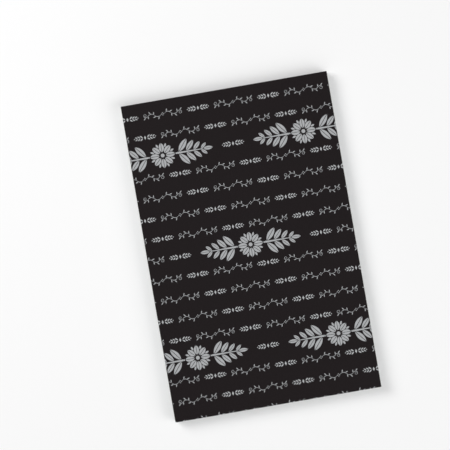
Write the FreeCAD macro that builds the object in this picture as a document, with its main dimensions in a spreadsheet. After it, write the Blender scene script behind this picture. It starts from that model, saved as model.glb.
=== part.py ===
# Writing pad of half-letter size. Ruled sheets are glued at the head onto a grey board, and one black
# card wraps the pad: it covers the front, folds down over the glued head and folds again onto the back
# of the board, where a short flap is glued down. The front of the card opens at the fold over the head.
# The pad lies on its back: +X is to the reader's right, +Y runs to the head and +Z is out of the page.
# The origin is the middle of the underside of the whole pad. All sizes are in millimetres.

import FreeCAD, Part
import math
import os

import Sketcher

SIZES = {
    # The guillotine cuts the sheets, the board and the card at the sides and the foot in one stroke.
    "sheet_width": (140.5, "cut width of the sheets, the board and the card"),
    "sheet_length": (215.0, "cut length of the sheets and the board, head to foot"),
    "sheet_count": (80, "ruled sheets in the pad"),
    "sheet_thickness": (0.09, "one sheet of writing paper"),
    "edge_stray": (0.06, "most that a sheet's cut edge lies back from the trimmed face, at the foot"),
    "board_thickness": (1.0, "grey board under the sheets"),
    "glue_thickness": (0.25, "film of padding glue over the head"),
    "card_thickness": (0.3, "cover card"),
    "fold_radius": (0.1, "inside radius of a scored fold in the card"),
    "flap_length": (25.0, "flap glued to the back of the board, from the outside of the head"),
}

# A sheet's three free edges lie back by shares of edge_stray that step through these fractions, so that
# no two neighbouring sheets are flush and the edge looks like a stack of separate leaves.
STRAY_STEPS = {
    "left": math.sqrt(5) / 2 - 0.5,
    "right": math.sqrt(2) - 1,
    "foot": math.sqrt(3) - 1,
}

# Distances that several pieces share, as expressions on the sheet of sizes.
WIDTH = "Sizes.sheet_width"
LENGTH = "Sizes.sheet_length"
CARD = "Sizes.card_thickness"
FOLD = "Sizes.fold_radius"
OUTER_FOLD = f"({CARD} + {FOLD})"
BLOCK = "(round(Sizes.sheet_count) * Sizes.sheet_thickness)"
BLOCK_TOP = f"({CARD} + Sizes.board_thickness + {BLOCK})"
AT_HEAD = f"(Sizes.glue_thickness + {CARD})"
HEAD_OUTSIDE = f"(({LENGTH} + {AT_HEAD}) / 2)"
HEAD = f"({HEAD_OUTSIDE} - {AT_HEAD})"
SHEET_MIDDLE = f"(-{AT_HEAD} / 2)"

# How a sketch numbers the places on its lines and arcs, its own axes and its origin.
START, END, CENTRE = range(1, 4)
LEVEL_AXIS, UPRIGHT_AXIS = range(-1, -3, -1)
SKETCH_ORIGIN = (LEVEL_AXIS, START)
OUTSIDE_ARC, INSIDE_ARC = range(2)


def make_sizes(doc):
    """The sheet of driving dimensions: a name, a plain number and what it measures in each row."""
    sheet = doc.addObject("Spreadsheet::Sheet", "Sizes")
    for row, (name, (value, meaning)) in enumerate(SIZES.items(), start=1):
        sheet.set(f"A{row}", name)
        sheet.set(f"B{row}", str(value))
        sheet.set(f"C{row}", meaning)
        sheet.setAlias(f"B{row}", name)
    doc.recompute()
    return sheet


def new_body(doc, label, y="0", z="0"):
    """An empty body whose own origin stands at y and z, two expressions, in the pad's frame."""
    body = doc.addObject("PartDesign::Body", label)
    body.Label = label
    body.setExpression("Placement.Base.y", y)
    body.setExpression("Placement.Base.z", z)
    return body


def new_sketch(body, name, plane):
    """A sketch on one of the body's own origin planes."""
    sketch = body.newObject("Sketcher::SketchObject", name)
    support = next(f for f in body.Origin.OriginFeatures if f.Role == plane)
    sketch.AttachmentSupport = [(support, "")]
    sketch.MapMode = "FlatFace"
    return sketch


def tie(sketch, *rules):
    """Adds constraints that have no dimension, each given as its kind and the places that it joins."""
    for kind, *places in rules:
        sketch.addConstraint(Sketcher.Constraint(kind, *places))


def drive(sketch, kind, *places, expression):
    """Adds a dimension that follows an expression. It starts at its value, so that the sketch solves."""
    number = sketch.addConstraint(Sketcher.Constraint(kind, *places, sketch.evalExpression(expression)))
    sketch.setExpression(f"Constraints[{number}]", expression)


def add_line(sketch, start, end):
    """A straight line of the sketch from one point to another. Returns its number."""
    return sketch.addGeometry(Part.LineSegment(FreeCAD.Vector(*start), FreeCAD.Vector(*end)))


def add_fold(sketch, centre, first_angle):
    """The outside and inside arcs of one quarter fold about a common centre, as geometry 0 and 1.
    first_angle, in degrees, is where the quarter begins, anticlockwise."""
    begin = math.radians(first_angle)
    for expression in (OUTER_FOLD, FOLD):
        radius = sketch.evalExpression(expression)
        circle = Part.Circle(FreeCAD.Vector(*centre), FreeCAD.Vector(0, 0, 1), radius)
        sketch.addGeometry(Part.ArcOfCircle(circle, begin, begin + math.pi / 2))
    tie(sketch, ("Coincident", OUTSIDE_ARC, CENTRE, INSIDE_ARC, CENTRE))
    drive(sketch, "Radius", INSIDE_ARC, expression=FOLD)


def add_rectangle(sketch, width, height):
    """A rectangle centred on the sketch's origin, with its sizes given as expressions."""
    half_w = sketch.evalExpression(width) / 2
    half_h = sketch.evalExpression(height) / 2
    corners = [(-half_w, -half_h), (half_w, -half_h), (half_w, half_h), (-half_w, half_h)]
    ends = corners[1:] + corners[:1]
    lower, right, upper, left = (add_line(sketch, *side) for side in zip(corners, ends))
    tie(
        sketch,
        ("Coincident", lower, END, right, START),
        ("Coincident", right, END, upper, START),
        ("Coincident", upper, END, left, START),
        ("Coincident", left, END, lower, START),
        ("Horizontal", lower),
        ("Vertical", right),
        ("Horizontal", upper),
        ("Vertical", left),
        ("Symmetric", lower, START, right, END, *SKETCH_ORIGIN),
    )
    drive(sketch, "DistanceX", lower, START, lower, END, expression=width)
    drive(sketch, "DistanceY", right, START, right, END, expression=height)


def pad_profile(body, sketch, name, length, **settings):
    """Pads a sketch by a length given as an expression."""
    pad = body.newObject("PartDesign::Pad", name)
    pad.Profile = sketch
    for setting, value in settings.items():
        setattr(pad, setting, value)
    pad.setExpression("Length", length)


def make_backing_board(doc):
    """Grey board that stiffens the pad, cut flush with the sheets."""
    body = new_body(doc, "backing_board", y=SHEET_MIDDLE, z=CARD)
    sketch = new_sketch(body, "BoardOutline", "XY_Plane")
    add_rectangle(sketch, WIDTH, LENGTH)
    pad_profile(body, sketch, "Board", "Sizes.board_thickness")
    return body


def make_padding_glue(doc):
    """Film of padding glue brushed over the head of the board and the sheets. It stops short of both
    folds of the card, by the radius that the card keeps there."""
    height = f"({BLOCK_TOP} - {CARD} - 2 * {FOLD})"
    body = new_body(doc, "padding_glue", y=HEAD, z=f"{CARD} + {FOLD} + {height} / 2")
    sketch = new_sketch(body, "HeadFace", "XZ_Plane")
    add_rectangle(sketch, WIDTH, height)
    pad_profile(body, sketch, "Film", "Sizes.glue_thickness", Reversed=True)
    return body


def make_front_cover(doc):
    """Front of the card, with the quarter of its fold that turns down over the head. Its origin is the
    line where its top would meet the outside of the head, which is the line that it opens on."""
    body = new_body(doc, "front_cover", y=HEAD_OUTSIDE, z=f"{BLOCK_TOP} + {CARD}")
    sketch = new_sketch(body, "CoverSection", "YZ_Plane")
    length = f"({LENGTH} + {AT_HEAD})"
    outer, card, foot = (sketch.evalExpression(e) for e in (OUTER_FOLD, CARD, length))
    add_fold(sketch, centre=(-outer, -outer), first_angle=0)
    top = add_line(sketch, (-outer, 0), (-foot, 0))
    trimmed = add_line(sketch, (-foot, 0), (-foot, -card))
    inside = add_line(sketch, (-foot, -card), (-outer, -card))
    crease = add_line(sketch, (-card, -outer), (0, -outer))
    tie(
        sketch,
        ("Tangent", OUTSIDE_ARC, END, top, START),
        ("Coincident", top, END, trimmed, START),
        ("Coincident", trimmed, END, inside, START),
        ("Tangent", inside, END, INSIDE_ARC, END),
        ("Coincident", INSIDE_ARC, START, crease, START),
        ("Coincident", crease, END, OUTSIDE_ARC, START),
        ("Horizontal", top),
        ("Vertical", trimmed),
        ("Horizontal", inside),
        ("Horizontal", crease),
        ("PointOnObject", OUTSIDE_ARC, CENTRE, crease),
        ("PointOnObject", top, START, LEVEL_AXIS),
        ("PointOnObject", crease, END, UPRIGHT_AXIS),
    )
    drive(sketch, "DistanceY", trimmed, END, trimmed, START, expression=CARD)
    drive(sketch, "DistanceX", top, END, *SKETCH_ORIGIN, expression=length)
    pad_profile(body, sketch, "Cover", WIDTH, SideType="Symmetric")
    return body


def make_spine_wrap(doc):
    """Rest of the card, glued to the pad: down the head, round the lower fold and forward under the
    board as a flap. Its origin is the line where the head and the underside would meet."""
    body = new_body(doc, "spine_wrap", y=HEAD_OUTSIDE)
    sketch = new_sketch(body, "WrapSection", "YZ_Plane")
    height = f"({BLOCK_TOP} - {FOLD})"
    flap = "Sizes.flap_length"
    outer, card, top, back = (sketch.evalExpression(e) for e in (OUTER_FOLD, CARD, height, flap))
    add_fold(sketch, centre=(-outer, outer), first_angle=-90)
    outside = add_line(sketch, (0, outer), (0, top))
    crease = add_line(sketch, (0, top), (-card, top))
    inside = add_line(sketch, (-card, top), (-card, outer))
    glued = add_line(sketch, (-outer, card), (-back, card))
    cut = add_line(sketch, (-back, card), (-back, 0))
    under = add_line(sketch, (-back, 0), (-outer, 0))
    tie(
        sketch,
        ("Tangent", OUTSIDE_ARC, END, outside, START),
        ("Coincident", outside, END, crease, START),
        ("Coincident", crease, END, inside, START),
        ("Tangent", inside, END, INSIDE_ARC, END),
        ("Tangent", INSIDE_ARC, START, glued, START),
        ("Coincident", glued, END, cut, START),
        ("Coincident", cut, END, under, START),
        ("Tangent", under, END, OUTSIDE_ARC, START),
        ("Vertical", outside),
        ("Horizontal", crease),
        ("Vertical", inside),
        ("Horizontal", glued),
        ("Vertical", cut),
        ("Horizontal", under),
        ("PointOnObject", outside, END, UPRIGHT_AXIS),
        ("PointOnObject", under, START, LEVEL_AXIS),
    )
    drive(sketch, "DistanceX", crease, END, crease, START, expression=CARD)
    drive(sketch, "DistanceY", *SKETCH_ORIGIN, outside, END, expression=height)
    drive(sketch, "DistanceX", under, START, *SKETCH_ORIGIN, expression=flap)
    pad_profile(body, sketch, "Wrap", WIDTH, SideType="Symmetric")
    return body


def stray(sizes, edge, number):
    """How far one edge of one sheet lies back from the trimmed face, at the foot of the pad."""
    return sizes.edge_stray * (number * STRAY_STEPS[edge] % 1)


def one_sheet(sizes, number):
    """One leaf. The glue holds its head corners true, and towards the foot its edges lie back a little."""
    half = sizes.sheet_width / 2
    head = sizes.sheet_length / 2
    left = -half + stray(sizes, "left", number)
    right = half - stray(sizes, "right", number)
    foot = -head + stray(sizes, "foot", number)
    level = number * sizes.sheet_thickness
    corners = [(-half, head), (left, foot), (right, foot), (half, head), (-half, head)]
    outline = Part.makePolygon([FreeCAD.Vector(x, y, level) for x, y in corners])
    return Part.Face(outline).extrude(FreeCAD.Vector(0, 0, sizes.sheet_thickness))


def make_sheet_block(doc, sizes):
    """All the ruled sheets as one solid, with each leaf's own cut edges. A body has no feature for a
    pile of outlines that all differ, so the leaves are made and fused here."""
    leaves = [one_sheet(sizes, number) for number in range(round(sizes.sheet_count))]
    block = doc.addObject("Part::Feature", "sheet_block")
    block.Label = "sheet_block"
    block.Shape = leaves[0].multiFuse(leaves[1:]).removeSplitter()
    middle = -(sizes.glue_thickness + sizes.card_thickness) / 2
    board_top = sizes.card_thickness + sizes.board_thickness
    block.Placement = FreeCAD.Placement(FreeCAD.Vector(0, middle, board_top), FreeCAD.Rotation())
    return block


def check(doc, pieces):
    """Stops before anything is written if a feature failed or a piece isn't one sound solid."""
    for item in doc.Objects:
        if {"Invalid", "Error"} & set(item.State):
            raise RuntimeError(f"{item.Label} failed: {item.State}")
        if item.isDerivedFrom("Sketcher::SketchObject") and not item.FullyConstrained:
            raise RuntimeError(f"{item.Label} isn't fully constrained")
    for piece in pieces:
        shape = piece.Shape
        if shape.isNull() or not shape.isValid() or len(shape.Solids) != 1:
            raise RuntimeError(f"{piece.Label} isn't one valid solid")


def main():
    doc = FreeCAD.newDocument("WritingPad")
    sizes = make_sizes(doc)
    pieces = [
        make_backing_board(doc),
        make_sheet_block(doc, sizes),
        make_padding_glue(doc),
        make_spine_wrap(doc),
        make_front_cover(doc),
    ]
    doc.recompute()
    check(doc, pieces)
    os.makedirs("parts", exist_ok=True)
    for piece in pieces:
        piece.Shape.exportStep(f"parts/{piece.Label}.step")
        box = piece.Shape.BoundBox
        print(
            f"{piece.Label}: {box.XLength:.3f} x {box.YLength:.3f} x {box.ZLength:.3f} mm,",
            f"from z {box.ZMin:.3f}, {piece.Shape.Volume / 1000:.3f} cm3",
        )


main()
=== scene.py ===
from math import ceil, cos, pi, radians, sin

import bmesh
import bpy
from mathutils import Matrix, Vector


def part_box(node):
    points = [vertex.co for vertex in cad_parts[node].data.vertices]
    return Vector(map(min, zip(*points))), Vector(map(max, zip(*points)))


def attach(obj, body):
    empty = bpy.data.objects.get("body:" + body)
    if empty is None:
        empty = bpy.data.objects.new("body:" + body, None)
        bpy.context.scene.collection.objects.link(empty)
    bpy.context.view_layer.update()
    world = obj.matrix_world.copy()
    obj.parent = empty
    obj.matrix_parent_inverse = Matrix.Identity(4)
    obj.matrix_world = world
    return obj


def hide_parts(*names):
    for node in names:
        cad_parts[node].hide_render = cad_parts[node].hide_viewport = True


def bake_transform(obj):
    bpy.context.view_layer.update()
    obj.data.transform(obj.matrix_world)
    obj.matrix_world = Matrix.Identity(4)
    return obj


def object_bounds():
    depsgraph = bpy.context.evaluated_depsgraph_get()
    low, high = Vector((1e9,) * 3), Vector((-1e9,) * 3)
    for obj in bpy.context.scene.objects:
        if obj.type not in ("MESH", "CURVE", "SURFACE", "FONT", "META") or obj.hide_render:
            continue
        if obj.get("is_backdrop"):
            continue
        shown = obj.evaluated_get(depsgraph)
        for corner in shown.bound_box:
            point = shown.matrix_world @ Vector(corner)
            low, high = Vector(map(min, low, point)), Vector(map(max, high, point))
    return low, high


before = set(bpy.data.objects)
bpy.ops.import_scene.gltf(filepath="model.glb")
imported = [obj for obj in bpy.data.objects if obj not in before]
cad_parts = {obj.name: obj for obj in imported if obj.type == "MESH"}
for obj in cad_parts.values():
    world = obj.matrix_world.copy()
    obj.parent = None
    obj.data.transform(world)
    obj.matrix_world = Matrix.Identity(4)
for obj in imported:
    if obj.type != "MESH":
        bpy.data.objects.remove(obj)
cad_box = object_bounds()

# Cover card
# One sheet of card, printed solid black on its outside. It is cut flat, scored across twice and folded
# over the head of the pad, then glued to the head and the back. The front is held only at its fold, so
# the free foot end springs up by a fraction of a millimetre.
MM = 0.001
scene = bpy.context.scene
sheets_low, sheets_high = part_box("sheet_block")
cover_low, cover_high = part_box("front_cover")
wrap_low, wrap_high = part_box("spine_wrap")
head, foot = cover_high.y, cover_low.y
width = cover_high.x - cover_low.x
card_thickness = cover_high.z - sheets_high.z
fold_radius = cover_high.z - cover_low.z
flap_length = wrap_high.y - wrap_low.y
fold_lines = 7  # creases that make up each quarter fold
fold_guard = 0.5 * MM  # narrow flats beside a fold, which keep its shading to itself
front_rows, columns = 24, 12  # strips of the flat card, along it and across
foot_lift = 0.6 * MM  # how far the free end springs up, and over what length
lifted_length = 70 * MM


def lift_of(y):
    """How far the card's free end has sprung up from the sheets at this place along the pad."""
    share = max(0, 1 - (y - foot) / lifted_length)
    return foot_lift * share * share


def card_steps():
    """Distances from row to row of the flat card, foot first, and the numbers of the rows that fold."""
    turn = pi / 2 / fold_lines
    chord = fold_radius / sum(cos(turn * i) for i in range(1, fold_lines))
    fold = [chord] * (fold_lines - 1)
    flat_front = head - foot - fold_radius - fold_guard
    spine = cover_high.z - 2 * (fold_radius + fold_guard)
    flap = flap_length - fold_radius - fold_guard
    steps = [flat_front / front_rows] * front_rows + [fold_guard]
    folded = list(range(len(steps), len(steps) + fold_lines))
    steps += fold + [fold_guard, spine, fold_guard]
    folded += range(len(steps), len(steps) + fold_lines)
    steps += fold + [fold_guard, flap]
    return steps, folded, turn


def verts_among(made):
    """The vertices among what an operator made."""
    return [v for v in made if isinstance(v, bmesh.types.BMVert)]


def fold_card():
    """The card's outside face: laid out flat, given its flat place as UV, then folded row by row."""
    steps, folded, turn = card_steps()
    bm = bmesh.new()
    corner = Vector((-width / 2, foot, cover_high.z))
    rows = [[bm.verts.new(corner + Vector((width * i / columns, 0, 0))) for i in range(columns + 1)]]
    edges = [bm.edges.new(pair) for pair in zip(rows[0], rows[0][1:])]
    for step in steps:
        made = bmesh.ops.extrude_edge_only(bm, edges=edges)["geom"]
        edges = [e for e in made if isinstance(e, bmesh.types.BMEdge) and not e.is_manifold]
        edges = [e for e in edges if not set(e.verts) & set(rows[-1])]
        rows.append(verts_among(made))
        bmesh.ops.translate(bm, verts=rows[-1], vec=(0, step, 0))
    flat = bm.loops.layers.uv.new("flat_card")
    for face in bm.faces:
        face.smooth = True
        for loop in face.loops:
            loop[flat].uv = loop.vert.co.xy
    for number in folded:
        beyond = [v for row in rows[number + 1:] for v in row]
        pivot = rows[number][0].co.copy()
        bmesh.ops.rotate(bm, verts=beyond, cent=pivot, matrix=Matrix.Rotation(-turn, 3, "X"))
    bmesh.ops.reverse_faces(bm, faces=bm.faces)
    for edge in bm.edges:
        edge.smooth = not edge.is_boundary
    for row in rows[:front_rows]:
        bmesh.ops.translate(bm, verts=row, vec=(0, 0, lift_of(row[0].co.y)))
    return bm


def put_in_scene(bm, name, materials):
    """Turns a finished bmesh into an object of that name with its materials."""
    mesh = bpy.data.meshes.new(name)
    bm.to_mesh(mesh)
    bm.free()
    for material in materials:
        mesh.materials.append(material)
    piece = bpy.data.objects.new(name, mesh)
    scene.collection.objects.link(piece)
    return piece


def new_material(name, **settings):
    """A material with one Principled shader. Its constants are set on the shader's own sockets."""
    material = bpy.data.materials.new(name)
    material.use_nodes = True
    shader = material.node_tree.nodes["Principled BSDF"]
    for socket, value in settings.items():
        shader.inputs[socket.replace("_", " ")].default_value = value
    return material, material.node_tree, shader


def add_node(tree, kind, inputs, **settings):
    """Adds a shader node. Each input is a plain value or the socket that feeds it."""
    node = tree.nodes.new(kind)
    for name, value in settings.items():
        setattr(node, name, value)
    for socket, value in inputs.items():
        if isinstance(value, bpy.types.NodeSocket):
            tree.links.new(value, node.inputs[socket])
        else:
            node.inputs[socket].default_value = value
    return node


def reckon(tree, operation, *values):
    """One step of arithmetic between node sockets and plain numbers."""
    return add_node(tree, "ShaderNodeMath", dict(enumerate(values)), operation=operation).outputs[0]


def spread(tree, value, low, high, smooth=False, onto=(0.0, 1.0)):
    """Maps the stretch from low to high of a value onto 0 to 1, or onto other limits."""
    inputs = {"Value": value, "From Min": low, "From Max": high, "To Min": onto[0], "To Max": onto[1]}
    kind = "SMOOTHSTEP" if smooth else "LINEAR"
    return add_node(tree, "ShaderNodeMapRange", inputs, interpolation_type=kind).outputs["Result"]


def noise(tree, place, per_metre, detail=2.0, distortion=0.0):
    """Soft noise, which varies about 0.5."""
    inputs = {"Vector": place, "Scale": per_metre, "Detail": detail, "Distortion": distortion}
    return add_node(tree, "ShaderNodeTexNoise", inputs).outputs[0]


def scaled(tree, place, x, y, z):
    """A place scaled along each axis, which draws a noise out or presses it flat."""
    return add_node(tree, "ShaderNodeMapping", {"Vector": place, "Scale": (x, y, z)}).outputs[0]


def split_place(tree, place):
    """The three coordinates of a place, or of a direction."""
    return add_node(tree, "ShaderNodeSeparateXYZ", {0: place}).outputs


def blend_colour(tree, share, first, second):
    """One colour at share 0, the other at share 1."""
    inputs = {0: share, 6: first, 7: second}  # sockets 6 and 7 are the Mix node's two colours
    return add_node(tree, "ShaderNodeMix", inputs, data_type="RGBA").outputs[2]


def new_group(name, inputs, outputs):
    """A node group with these sockets. Returns it with the ends that its own nodes join on to."""
    group = bpy.data.node_groups.new(name, "ShaderNodeTree")
    for socket, kind in inputs.items():
        group.interface.new_socket(socket, in_out="INPUT", socket_type=kind)
    for socket, kind in outputs.items():
        group.interface.new_socket(socket, in_out="OUTPUT", socket_type=kind)
    given = group.nodes.new("NodeGroupInput").outputs
    return group, given, group.nodes.new("NodeGroupOutput").inputs


def make_fibre_group():
    """Paper fibre, for every paper surface: a tone that varies about 0.5, and a height for the bump.
    Grain is the number of fibres to a metre."""
    group, given, result = new_group(
        "paper_fibre",
        {"Vector": "NodeSocketVector", "Grain": "NodeSocketFloat"},
        {"Tone": "NodeSocketFloat", "Height": "NodeSocketFloat"},
    )
    felt = noise(group, given["Vector"], given["Grain"], detail=5.0)
    along = scaled(group, given["Vector"], 1.0, 0.4, 1.0)
    run = noise(group, along, given["Grain"], detail=3.0, distortion=1.2)
    group.links.new(reckon(group, "MULTIPLY", reckon(group, "ADD", felt, run), 0.5), result["Tone"])
    group.links.new(run, result["Height"])
    return group


def make_scrap_group():
    """Scraps of dark and pale fibre that lie all ways in pulp made from waste paper, as two masks."""
    group, given, result = new_group(
        "waste_scraps",
        {"Vector": "NodeSocketVector"},
        {"Dark": "NodeSocketFloat", "Pale": "NodeSocketFloat"},
    )
    for mask, sorts in {
        "Dark": ((0.4, 0.7, 2.2, 0.68), (1.5, 0.5, 1.6, 0.69), (2.9, 1.3, 2.3, 0.735)),
        "Pale": ((2.4, 0.5, 2.4, 0.68), (0.9, 0.6, 1.5, 0.70), (1.9, 0.4, 2.8, 0.69)),
    }.items():
        found = 0.0
        for turn, breadth, length, scarce in sorts:
            size = (breadth * MM, length * MM, breadth * MM)
            inputs = {"Vector": given["Vector"], "Rotation": (0, 0, turn), "Scale": size}
            laid = add_node(group, "ShaderNodeMapping", inputs, vector_type="TEXTURE").outputs[0]
            sort = spread(group, noise(group, laid, 1.0), scarce, scarce + 0.06, smooth=True)
            found = reckon(group, "MAXIMUM", found, sort)
        group.links.new(found, result[mask])
    return group


fibre_group = make_fibre_group()
scrap_group = make_scrap_group()


def add_fibre(tree, place, grain):
    """Places the fibre group in a material."""
    return add_node(tree, "ShaderNodeGroup", {"Vector": place, "Grain": grain}, node_tree=fibre_group)


def strew_scraps(tree, place, colour, dark, pale, share):
    """Strews waste scraps of two colours over a colour."""
    scraps = add_node(tree, "ShaderNodeGroup", {"Vector": place}, node_tree=scrap_group)
    for mask, scrap in (("Dark", dark), ("Pale", pale)):
        colour = blend_colour(tree, reckon(tree, "MULTIPLY", scraps.outputs[mask], share), colour, scrap)
    return colour


def add_bump(tree, shader, height, distance, strength):
    """Gives the shader a bump of that depth in metres."""
    inputs = {"Height": height, "Distance": distance, "Strength": strength}
    bump = add_node(tree, "ShaderNodeBump", inputs)
    tree.links.new(bump.outputs[0], shader.inputs["Normal"])


def flat_place(tree):
    """The place on the card as it was before it was folded."""
    return add_node(tree, "ShaderNodeUVMap", {}, uv_map="flat_card").outputs[0]


def fold_middles():
    """Where the middles of the two folds lie along the flat card."""
    steps, folded, _ = card_steps()
    for rows in (folded[:fold_lines], folded[fold_lines:]):
        yield foot + sum(steps[:rows[0]]) + sum(steps[rows[0]:rows[-1]]) / 2


rubbed_width = 0.4 * MM  # where the ink has begun to rub off, beside an edge or a fold
cracked_width = 0.1 * MM  # where it has cracked through, beside the middle of a fold
full_black = (0.0078, 0.0052, 0.0058, 1)
thin_black = (0.0116, 0.0082, 0.0090, 1)
rubbed_black = (0.10, 0.097, 0.093, 1)


def make_black_print():
    """Solid black ink on card: a little thinner over the fibres, cracked a little along the folds and
    rubbed along the trimmed edges."""
    material, tree, shader = new_material("black_print", Specular_IOR_Level=0.12)
    flat = flat_place(tree)
    fibre = add_fibre(tree, flat, grain=1500.0)
    x, y, _ = split_place(tree, flat)
    at_side = spread(tree, reckon(tree, "ABSOLUTE", x), width / 2 - rubbed_width, width / 2)
    worn = reckon(tree, "MAXIMUM", at_side, spread(tree, y, foot + rubbed_width, foot))
    for middle in fold_middles():
        away = reckon(tree, "ABSOLUTE", reckon(tree, "SUBTRACT", y, middle))
        worn = reckon(tree, "MAXIMUM", worn, spread(tree, away, rubbed_width, cracked_width))
    patches = spread(tree, noise(tree, flat, 170.0, detail=8.0), 0.36, 0.86)
    worn = reckon(tree, "MULTIPLY", worn, patches)
    ink = blend_colour(tree, spread(tree, fibre.outputs["Tone"], 0.35, 0.65), full_black, thin_black)
    tree.links.new(blend_colour(tree, worn, ink, rubbed_black), shader.inputs["Base Color"])
    gloss = spread(tree, fibre.outputs["Tone"], 0.3, 0.7, onto=(0.52, 0.66))
    tree.links.new(gloss, shader.inputs["Roughness"])
    add_bump(tree, shader, fibre.outputs["Height"], distance=0.02 * MM, strength=0.5)
    return material


inside_shade = (0.595, 0.575, 0.535, 1)
inside_light = (0.685, 0.67, 0.63, 1)
inside_dark_scrap = (0.22, 0.205, 0.18, 1)
inside_pale_scrap = (0.86, 0.85, 0.82, 1)


def make_bare_card():
    """The card's uncoated inside: grey pulp, a little warm, with a few scraps of fibre in it."""
    material, tree, shader = new_material("bare_card", Roughness=0.85, Specular_IOR_Level=0.3)
    flat = flat_place(tree)
    fibre = add_fibre(tree, flat, grain=1300.0)
    tone = spread(tree, fibre.outputs["Tone"], 0.32, 0.68)
    colour = blend_colour(tree, tone, inside_shade, inside_light)
    colour = strew_scraps(tree, flat, colour, inside_dark_scrap, inside_pale_scrap, share=0.5)
    tree.links.new(colour, shader.inputs["Base Color"])
    add_bump(tree, shader, fibre.outputs["Height"], distance=0.03 * MM, strength=0.5)
    return material


core_pulp = (0.50, 0.485, 0.455, 1)
dragged_black = (0.07, 0.067, 0.064, 1)


def make_cut_card():
    """The pale core of the card along its trimmed edges, with a little ink dragged over it."""
    material, tree, shader = new_material("cut_card", Roughness=0.9, Specular_IOR_Level=0.2)
    flat = flat_place(tree)
    fibre = add_fibre(tree, flat, grain=4200.0)
    smear = spread(tree, noise(tree, flat, 130.0, detail=3.0), 0.45, 0.75)
    dragged = reckon(tree, "MULTIPLY", smear, 0.6)
    dragged = reckon(tree, "MULTIPLY_ADD", spread(tree, fibre.outputs["Tone"], 0.4, 0.7), 0.25, dragged)
    tree.links.new(blend_colour(tree, dragged, core_pulp, dragged_black), shader.inputs["Base Color"])
    add_bump(tree, shader, fibre.outputs["Height"], distance=0.02 * MM, strength=0.5)
    return material


card = put_in_scene(fold_card(), "cover_card", [make_black_print(), make_bare_card(), make_cut_card()])
wall = card.modifiers.new("card_thickness", "SOLIDIFY")
wall.thickness = card_thickness
wall.offset = -1
wall.use_even_offset = True
wall.material_offset = 1
wall.material_offset_rim = 2
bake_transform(card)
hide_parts("front_cover", "spine_wrap")


# Print on the cover
# Silver-grey ink over the black. Rows of small ornaments cross the whole card, bold clusters and fine
# tendrils by turns, and large leaf sprays stand among them. The pattern is a repeat that the guillotine
# cuts through at the sides and the foot, and the card is left plain along the head.
ink_height = 0.04 * MM  # above the card
ink_depth = 0.02 * MM  # soaked into the card
first_row = 9.6 * MM
row_pitch = 13.8 * MM
row_count = ceil((head - foot - first_row) / row_pitch) + 1
repeat = 48 * MM
first_large_row = 2
rows_to_large = 5
large_apart = 96 * MM
large_length = 70 * MM
gap_beside_large = 1.2 * MM
bold_length = 15 * MM
fine_length = 29 * MM
small_offsets = range(-3, 3)  # in repeats, enough to reach past both sides of the card


def cut_block(draw, **sizes):
    """A printing block: an ornament drawn once about the origin, to be stamped where it is needed."""
    bm = bmesh.new()
    draw(bm, **sizes)
    block = bpy.data.meshes.new(draw.__name__)
    bm.to_mesh(block)
    bm.free()
    return block


def stamp(bm, block, at=(0, 0), turn=0.0, size=(1, 1)):
    """Stamps a block at a place in the plane, scaled and turned about its own origin."""
    before = len(bm.verts)
    bm.from_mesh(block)
    place = Matrix.LocRotScale(Vector((*at, 0)), Matrix.Rotation(turn, 3, "Z"), Vector((*size, 1)))
    bmesh.ops.transform(bm, matrix=place, verts=bm.verts[before:])


def whole(bm):
    """All that is drawn."""
    return bm.verts[:] + bm.edges[:] + bm.faces[:]


def keep_above(bm, place, direction):
    """Trims away what lies behind a straight cut in the plane."""
    bmesh.ops.bisect_plane(bm, geom=whole(bm), plane_co=place, plane_no=direction, clear_inner=True)


def leaf(bm, length, breadth, vein, segments):
    """A pointed leaf from the origin along +X, parted down the middle where it has a vein."""
    half = breadth / 2
    radius = (length * length / 4 + half * half) / breadth
    middle = Matrix.Translation((length / 2, half - radius, 0))
    bmesh.ops.create_circle(bm, cap_ends=True, segments=segments, radius=radius, matrix=middle)
    keep_above(bm, (0, vein / 2, 0), (0, 1, 0))
    bmesh.ops.mirror(bm, geom=whole(bm), matrix=Matrix(), merge_dist=0.001 * MM, axis="Y")


def disc(bm, radius, segments):
    """A round dot, or a lozenge if it has four segments."""
    bmesh.ops.create_circle(bm, cap_ends=True, segments=segments, radius=radius)


def stroke(bm, at, heading, width, steps):
    """A pen stroke. Each step gives the way that it runs, its turn and its width at the end. Returns the
    place, heading and width after each step, where leaves can be set on."""
    middle = Vector((*at, 0))
    across = Vector((-sin(heading), cos(heading), 0)) * width / 2
    edge = bm.edges.new([bm.verts.new(middle - across), bm.verts.new(middle + across)])
    buds = []
    for way, turn, end_width in steps:
        made = bmesh.ops.extrude_edge_only(bm, edges=[edge])["geom"]
        verts = verts_among(made)
        edge = next(e for e in made if isinstance(e, bmesh.types.BMEdge) and set(e.verts) == set(verts))
        heading += turn
        bmesh.ops.rotate(bm, verts=verts, cent=middle, matrix=Matrix.Rotation(turn, 3, "Z"))
        narrow = (end_width / width,) * 3
        bmesh.ops.scale(bm, verts=verts, vec=narrow, space=Matrix.Translation(-middle))
        run = Vector((cos(heading), sin(heading), 0)) * way
        bmesh.ops.translate(bm, verts=verts, vec=run)
        middle += run
        width = end_width
        buds.append((middle.xy, heading, width))
    return buds


def set_leaf(bm, block, bud, side, lean, size=1.0):
    """Stamps a leaf beside a stroke, with its point just clear of the stroke's edge."""
    at, heading, width = bud
    past_edge = 0.53 * width + 0.03 * MM
    out = Vector((-sin(heading), cos(heading))) * side * past_edge
    stamp(bm, block, at=at + out, turn=heading + side * lean, size=(size, size))


def mirrored(bm, axis):
    """Adds the mirror image of all that is drawn."""
    bmesh.ops.mirror(bm, geom=whole(bm), matrix=Matrix(), merge_dist=0, axis=axis)


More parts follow.
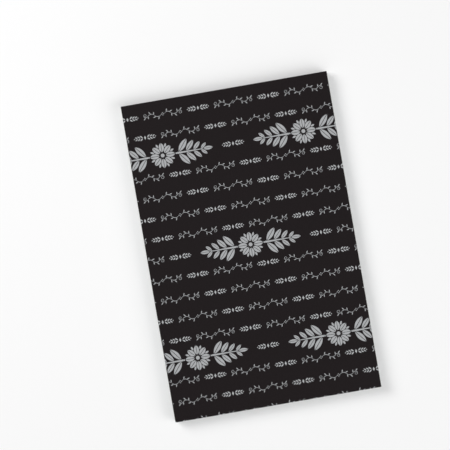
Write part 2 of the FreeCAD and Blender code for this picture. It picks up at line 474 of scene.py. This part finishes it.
def half_turned(bm):
    """Adds a copy of all that is drawn, turned half way round the origin."""
    copy = bmesh.ops.duplicate(bm, geom=whole(bm))["geom"]
    half_turn = Matrix.Rotation(pi, 3, "Z")
    bmesh.ops.rotate(bm, verts=verts_among(copy), cent=(0, 0, 0), matrix=half_turn)


def bold_cluster(bm):
    """Small bold ornament: a lozenge between two short ears of three pairs of leaves."""
    blade = cut_block(leaf, length=2.5 * MM, breadth=0.84 * MM, vein=0, segments=24)
    lozenge = cut_block(disc, radius=1.0 * MM, segments=4)
    dot = cut_block(disc, radius=0.34 * MM, segments=10)
    first_pair, pair_pitch, half_parting = 1.5 * MM, 1.75 * MM, 0.17 * MM
    for i in range(3):
        smaller = 1 - 0.09 * i
        for side in (-1, 1):
            at = (first_pair + i * pair_pitch, side * half_parting)
            stamp(bm, blade, at=at, turn=side * radians(40 - 4 * i), size=(smaller, smaller))
    stamp(bm, dot, at=(bold_length / 2 - 0.35 * MM, 0))
    mirrored(bm, "X")
    stamp(bm, lozenge, size=(0.7, 1.4))


def fine_tendril(bm):
    """Small fine ornament: a waving stem, thick and thin by turns, with leaflets and curled ends."""
    leaflet = cut_block(leaf, length=2.0 * MM, breadth=0.62 * MM, vein=0, segments=24)
    dot = cut_block(disc, radius=0.32 * MM, segments=8)
    swing = radians(42)
    thinnest, swelling = 0.16 * MM, 0.18 * MM
    wave_steps, wave_step = 24, 0.44 * MM
    curl_steps, curl_step = 26, 0.31 * MM
    wave = []
    for i in range(wave_steps):
        angle = 2 * pi * (i + 0.5) / wave_steps
        turn = -swing * 2 * pi / wave_steps * sin(angle)
        wave.append((wave_step, turn, thinnest + swelling * sin(angle) ** 2))
    curl = []
    for i in range(curl_steps):
        curl.append((curl_step, -radians(7.5 + 0.84 * i), (0.29 - 0.005 * i) * MM))
    buds = stroke(bm, (1.1 * MM, 0.25 * MM), swing, thinnest, wave + curl)
    for number, side in ((3, 1), (8, 1), (12, -1), (17, -1), (22, 1), (28, 1)):
        set_leaf(bm, leaflet, buds[number], side, lean=radians(48))
    half_turned(bm)
    dots, dots_out = 4, 0.74 * MM
    for i in range(dots):
        way = i * 2 * pi / dots
        stamp(bm, dot, at=(dots_out * cos(way), dots_out * sin(way)))


def leaf_spray(bm):
    """Large ornament: a rosette of eight petals with a leafy sprig to each side."""
    petal = cut_block(leaf, length=6.4 * MM, breadth=3.5 * MM, vein=0.3 * MM, segments=40)
    dart = cut_block(leaf, length=2.8 * MM, breadth=1.3 * MM, vein=0, segments=24)
    blade = cut_block(leaf, length=10.2 * MM, breadth=3.8 * MM, vein=0.35 * MM, segments=48)
    dot = cut_block(disc, radius=1.3 * MM, segments=20)
    stem_start, stem_width = 9.9 * MM, 1.2 * MM
    stem = [(1.25 * MM, 0.0, (1.2 - 0.06 * i) * MM) for i in range(14)]
    buds = stroke(bm, (stem_start, 0), 0.0, stem_width, stem)
    stamp(bm, dot, at=(stem_start - stem_width / 2, 0), size=(0.42, 0.42))
    for i, number in enumerate((0, 4, 8, 12)):
        for side in (-1, 1):
            set_leaf(bm, blade, buds[number], side, lean=radians(51 - 3 * i), size=1 - 0.16 * i)
    stamp(bm, blade, at=(27.6 * MM, 0), size=(0.66, 0.66))
    mirrored(bm, "X")
    petals, petals_out, darts_out = 8, 2.1 * MM, 5.8 * MM
    for i in range(petals):
        way = i * 2 * pi / petals
        stamp(bm, petal, at=(petals_out * cos(way), petals_out * sin(way)), turn=way)
        between = way + pi / petals
        stamp(bm, dart, at=(darts_out * cos(between), darts_out * sin(between)), turn=between)
    stamp(bm, dot)


def row_height(row):
    """Where a row of the print stands along the pad."""
    return head - first_row - row * row_pitch


def large_places(row):
    """Where the large ornaments of a row stand: two by the sides of the card, or one in the middle."""
    number, beyond = divmod(row - first_large_row, rows_to_large)
    if beyond:
        return []
    return [0] if number % 2 else [-large_apart / 2, large_apart / 2]


def small_places(offset, length):
    """Places of one kind of small ornament. The rows step aside by turns until the next large ones."""
    clear = (large_length + length) / 2 + gap_beside_large
    for row in range(row_count):
        step = (row - first_large_row) % rows_to_large * repeat / rows_to_large
        for i in small_offsets:
            x = i * repeat + offset + step
            if all(abs(x - large) > clear for large in large_places(row)):
                yield x, row_height(row)


def print_plate(name, block, places, ink):
    """Prints one kind of ornament at its places, as a film of ink that is trimmed with the card."""
    bm = bmesh.new()
    for place in places:
        stamp(bm, block, at=place)
    keep_above(bm, (-width / 2, 0, 0), (1, 0, 0))
    keep_above(bm, (width / 2, 0, 0), (-1, 0, 0))
    keep_above(bm, (0, foot, 0), (0, 1, 0))
    bmesh.ops.triangulate(bm, faces=bm.faces[:])
    for vert in bm.verts:
        vert.co.z = cover_high.z + lift_of(vert.co.y) - ink_depth
    top = bmesh.ops.extrude_face_region(bm, geom=bm.faces[:], use_keep_orig=True)["geom"]
    bmesh.ops.translate(bm, verts=verts_among(top), vec=(0, 0, ink_depth + ink_height))
    bmesh.ops.recalc_face_normals(bm, faces=bm.faces[:])
    plate = put_in_scene(bm, name, [ink])
    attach(plate, "cover")


def make_ink(name, colour):
    """Silver-grey ink, laid on unevenly enough to break up its flat tone when seen close."""
    material, tree, shader = new_material(name, Roughness=0.5, Specular_IOR_Level=0.2)
    place = add_node(tree, "ShaderNodeTexCoord", {}).outputs["Object"]
    fibre = add_fibre(tree, place, grain=1800.0)
    tone = spread(tree, fibre.outputs["Tone"], 0.36, 0.56)
    thin = [0.82 * value for value in colour]
    tree.links.new(blend_colour(tree, tone, (*thin, 1), (*colour, 1)), shader.inputs["Base Color"])
    add_bump(tree, shader, fibre.outputs["Height"], distance=0.01 * MM, strength=0.4)
    return material


silver_ink = make_ink("silver_ink", (0.415, 0.425, 0.435))
large_spots = [(x, row_height(row)) for row in range(row_count) for x in large_places(row)]
print_plate("large_sprays", cut_block(leaf_spray), large_spots, silver_ink)

light_ink = make_ink("light_silver_ink", (0.465, 0.475, 0.485))
bold_spots = small_places(0, bold_length)
print_plate("bold_clusters", cut_block(bold_cluster), bold_spots, light_ink)

dark_ink = make_ink("dark_silver_ink", (0.405, 0.415, 0.425))
fine_spots = small_places(repeat / 2, fine_length)
print_plate("fine_tendrils", cut_block(fine_tendril), fine_spots, dark_ink)


# Ruled sheets
# Eighty leaves of thin white writing paper, ruled in pale blue right across, with a deep margin at the
# head. They were jogged square and trimmed together, so their edges are smooth, and each leaf's lines
# show at the sides as blue specks.
rule_below_head = 21.2 * MM
rule_pitch = 6.44 * MM
rule_count = 29
rule_width = 0.36 * MM
rule_softness = 0.08 * MM
rule_blue = (0.15, 0.33, 0.485, 1)
paper_shade = (0.79, 0.822, 0.822, 1)
paper_light = (0.826, 0.858, 0.858, 1)
# the colour of the leaves' darker cut edges and of the painted shadow in the gaps between them
edge_tone_and_gap_shadow = (0.42, 0.43, 0.43, 1)
leaf_count = 80
leaf_thickness = (sheets_high.z - sheets_low.z) / leaf_count
line_slip = 0.5 * MM  # how far the lines of a leaf can lie from their place


def dress(node, material):
    """Gives a solid of the frame its finish."""
    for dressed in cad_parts[node].material_slots:
        dressed.material = material


def ruled_line(tree, y):
    """1 on a printed line and 0 between the lines, for a place along the sheet."""
    below = reckon(tree, "SUBTRACT", sheets_high.y - rule_below_head, y)
    number = reckon(tree, "DIVIDE", below, rule_pitch)
    nearest = reckon(tree, "ROUND", number)
    away = reckon(tree, "ABSOLUTE", reckon(tree, "SUBTRACT", number, nearest))
    away = reckon(tree, "MULTIPLY", away, rule_pitch)
    soft = (rule_width + rule_softness) / 2, (rule_width - rule_softness) / 2
    line = spread(tree, away, *soft, smooth=True)
    from_middle = reckon(tree, "ABSOLUTE", reckon(tree, "SUBTRACT", nearest, (rule_count - 1) / 2))
    printed = reckon(tree, "LESS_THAN", from_middle, rule_count / 2)
    return reckon(tree, "MULTIPLY", line, printed)


def leaf_edges(tree, place, z):
    """How dark the leaves are where they are cut, with a painted shadow in each thin gap between them,
    and how far the lines of each have slipped.
    """
    height = reckon(tree, "DIVIDE", reckon(tree, "SUBTRACT", z, sheets_low.z), leaf_thickness)
    number = reckon(tree, "FLOOR", height)
    leaf_own = add_node(tree, "ShaderNodeTexWhiteNoise", {"W": number}, noise_dimensions="1D")
    own = leaf_own.outputs["Value"]
    drift = noise(tree, scaled(tree, place, 14.0, 14.0, 900.0), 1.0)
    shade = reckon(tree, "MULTIPLY_ADD", own, 0.12, 0.06)
    shade = reckon(tree, "ADD", shade, spread(tree, drift, 0.3, 0.7, onto=(0.0, 0.22)))
    # painted shadow: a thin dark band at the gap between one leaf and the next
    painted_gap_shadow = spread(tree, reckon(tree, "FRACT", height), 0.22, 0.04, smooth=True)
    shade = reckon(tree, "MAXIMUM", shade, reckon(tree, "MULTIPLY", painted_gap_shadow, 0.35))
    slip = reckon(tree, "SUBTRACT", reckon(tree, "MULTIPLY_ADD", drift, 2.0, own), 1.5)
    return shade, reckon(tree, "MULTIPLY", slip, line_slip)


def make_ruled_paper():
    """Smooth writing paper. On the face it carries its lines. On the trimmed sides the leaves differ a
    little in tone from one to the next, thin painted shadows part them, and the ends of the lines show."""
    material, tree, shader = new_material("ruled_paper", Roughness=0.8, Specular_IOR_Level=0.3)
    coordinates = add_node(tree, "ShaderNodeTexCoord", {})
    place = coordinates.outputs["Object"]
    _, y, z = split_place(tree, place)
    across, _, up = split_place(tree, coordinates.outputs["Normal"])
    on_face = reckon(tree, "GREATER_THAN", up, 0.5)
    on_side = reckon(tree, "GREATER_THAN", reckon(tree, "ABSOLUTE", across), 0.5)
    fibre = add_fibre(tree, place, grain=1100.0)
    paper = blend_colour(tree, spread(tree, fibre.outputs["Tone"], 0.3, 0.7), paper_shade, paper_light)

    shade, slip = leaf_edges(tree, place, z)
    shade = reckon(tree, "MULTIPLY", shade, reckon(tree, "SUBTRACT", 1.0, on_face))
    # on the sides only: each leaf's own tone and the painted gap shadows
    paper = blend_colour(tree, shade, paper, edge_tone_and_gap_shadow)
    line = ruled_line(tree, reckon(tree, "MULTIPLY_ADD", slip, on_side, y))
    shown = reckon(tree, "MAXIMUM", on_face, reckon(tree, "MULTIPLY", on_side, 0.32))
    ink = reckon(tree, "MULTIPLY", line, shown)
    soaked = spread(tree, fibre.outputs["Tone"], 0.3, 0.6, onto=(0.85, 1.0))
    ink = reckon(tree, "MULTIPLY", ink, soaked)
    tree.links.new(blend_colour(tree, ink, paper, rule_blue), shader.inputs["Base Color"])
    add_bump(tree, shader, fibre.outputs["Height"], distance=0.012 * MM, strength=0.5)
    return material


dress("sheet_block", make_ruled_paper())


# Backing board
# A stiff board of pressed grey pulp made from waste paper, cut with the sheets. Its face is smooth, with
# darker and paler scraps of fibre in it, and its trimmed edges show the plies that it is pressed from.
board_shade = (0.275, 0.255, 0.22, 1)
board_light = (0.385, 0.365, 0.325, 1)
board_dark_ply = (0.20, 0.184, 0.156, 1)
board_dark_scrap = (0.11, 0.098, 0.085, 1)
board_pale_scrap = (0.57, 0.55, 0.50, 1)


def make_greyboard():
    """Speckled grey pulp, in plies where the thickness of the board shows."""
    material, tree, shader = new_material("grey_board", Roughness=0.88, Specular_IOR_Level=0.25)
    coordinates = add_node(tree, "ShaderNodeTexCoord", {})
    place = coordinates.outputs["Object"]
    fibre = add_fibre(tree, place, grain=950.0)
    clouds = noise(tree, place, 45.0, detail=4.0)
    pulp = reckon(tree, "MULTIPLY_ADD", clouds, 0.35, fibre.outputs["Tone"])
    colour = blend_colour(tree, spread(tree, pulp, 0.45, 0.9), board_shade, board_light)

    plies = noise(tree, scaled(tree, place, 420.0, 420.0, 3600.0), 1.0, detail=6.0)
    _, _, up = split_place(tree, coordinates.outputs["Normal"])
    at_edge = reckon(tree, "LESS_THAN", reckon(tree, "ABSOLUTE", up), 0.5)
    dark_ply = reckon(tree, "MULTIPLY", spread(tree, plies, 0.42, 0.7), at_edge)
    colour = blend_colour(tree, reckon(tree, "MULTIPLY", dark_ply, 0.55), colour, board_dark_ply)

    colour = strew_scraps(tree, place, colour, board_dark_scrap, board_pale_scrap, share=0.7)
    tree.links.new(colour, shader.inputs["Base Color"])
    height = reckon(tree, "MULTIPLY_ADD", dark_ply, -0.8, fibre.outputs["Height"])
    add_bump(tree, shader, height, distance=0.04 * MM, strength=0.6)
    return material


dress("backing_board", make_greyboard())


# Padding compound
# White glue that is brushed over the trimmed head of the sheets and board, and dries to a thin rubbery
# skin that holds every leaf by its edge until it is torn off.
glue_shade = (0.70, 0.69, 0.63, 1)
glue_light = (0.80, 0.79, 0.74, 1)


def make_padding_compound():
    """A satin skin with the marks of the brush along it."""
    material, tree, shader = new_material("padding_compound", Specular_IOR_Level=0.45)
    place = add_node(tree, "ShaderNodeTexCoord", {}).outputs["Object"]
    brushed = noise(tree, scaled(tree, place, 60.0, 900.0, 1400.0), 1.0, detail=4.0)
    colour = blend_colour(tree, spread(tree, brushed, 0.35, 0.65), glue_shade, glue_light)
    tree.links.new(colour, shader.inputs["Base Color"])
    tree.links.new(spread(tree, brushed, 0.3, 0.7, onto=(0.34, 0.5)), shader.inputs["Roughness"])
    add_bump(tree, shader, brushed, distance=0.06 * MM, strength=0.6)
    return material


dress("padding_glue", make_padding_compound())


# Floor and light
# A plain white floor, a hair below the pad so that the two faces don't lie in one plane, with two large
# soft lights from the sides and a pale room.
floor_half_width = 3
floor_gap = 0.05 * MM
room_brightness = 0.45

bm = bmesh.new()
just_below = Matrix.Translation((0, 0, -floor_gap))
bmesh.ops.create_grid(bm, x_segments=1, y_segments=1, size=floor_half_width, matrix=just_below)
floor_material, _, _ = new_material(
    "floor", Base_Color=(0.93, 0.93, 0.93, 1), Roughness=0.9, Specular_IOR_Level=0.1
)
floor = put_in_scene(bm, "floor", [floor_material])
floor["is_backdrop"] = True

for name, place, size, watts in (
    ("key_light", (-0.9, 0.7, 1.1), 0.9, 14),
    ("fill_light", (1.0, -0.6, 1.0), 1.1, 9),
):
    lamp = bpy.data.lights.new(name, "AREA")
    lamp.size = size
    lamp.energy = watts
    light = bpy.data.objects.new(name, lamp)
    light.location = place
    light.rotation_euler = (-Vector(place)).to_track_quat("-Z", "Y").to_euler()
    scene.collection.objects.link(light)

room = bpy.data.worlds.new("room")
room.use_nodes = True
walls = room.node_tree.nodes["Background"]
walls.inputs["Color"].default_value = (1, 1, 1, 1)
walls.inputs["Strength"].default_value = room_brightness
scene.world = room


# Camera
# The pad lies on its back and is seen from straight above through a long lens. In the picture it is
# turned a little anticlockwise and stands right of and below the middle, so the camera does the same.
picture_side_px = 450
cover_length_px = 320.6
pad_middle_px = (251.0, 246.7)
pad_tilt = radians(9.87)
lens_mm, sensor_mm = 120, 36

metres_per_px = (head - foot) / cover_length_px
right_px = pad_middle_px[0] - picture_side_px / 2
below_px = pad_middle_px[1] - picture_side_px / 2
picture_right = Vector((cos(pad_tilt), -sin(pad_tilt), 0))
picture_up = Vector((sin(pad_tilt), cos(pad_tilt), 0))
lens = bpy.data.cameras.new("camera")
lens.lens = lens_mm
lens.sensor_width = sensor_mm
lens.clip_start = 0.01
camera = bpy.data.objects.new("camera", lens)
camera.location = (picture_up * below_px - picture_right * right_px) * metres_per_px
camera.location.z = cover_high.z + picture_side_px * metres_per_px * lens_mm / sensor_mm
camera.rotation_euler.z = -pad_tilt
scene.collection.objects.link(camera)
scene.camera = camera
scene.view_settings.view_transform = "Standard"

[[list(corner) for corner in box] for box in (cad_box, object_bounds())]
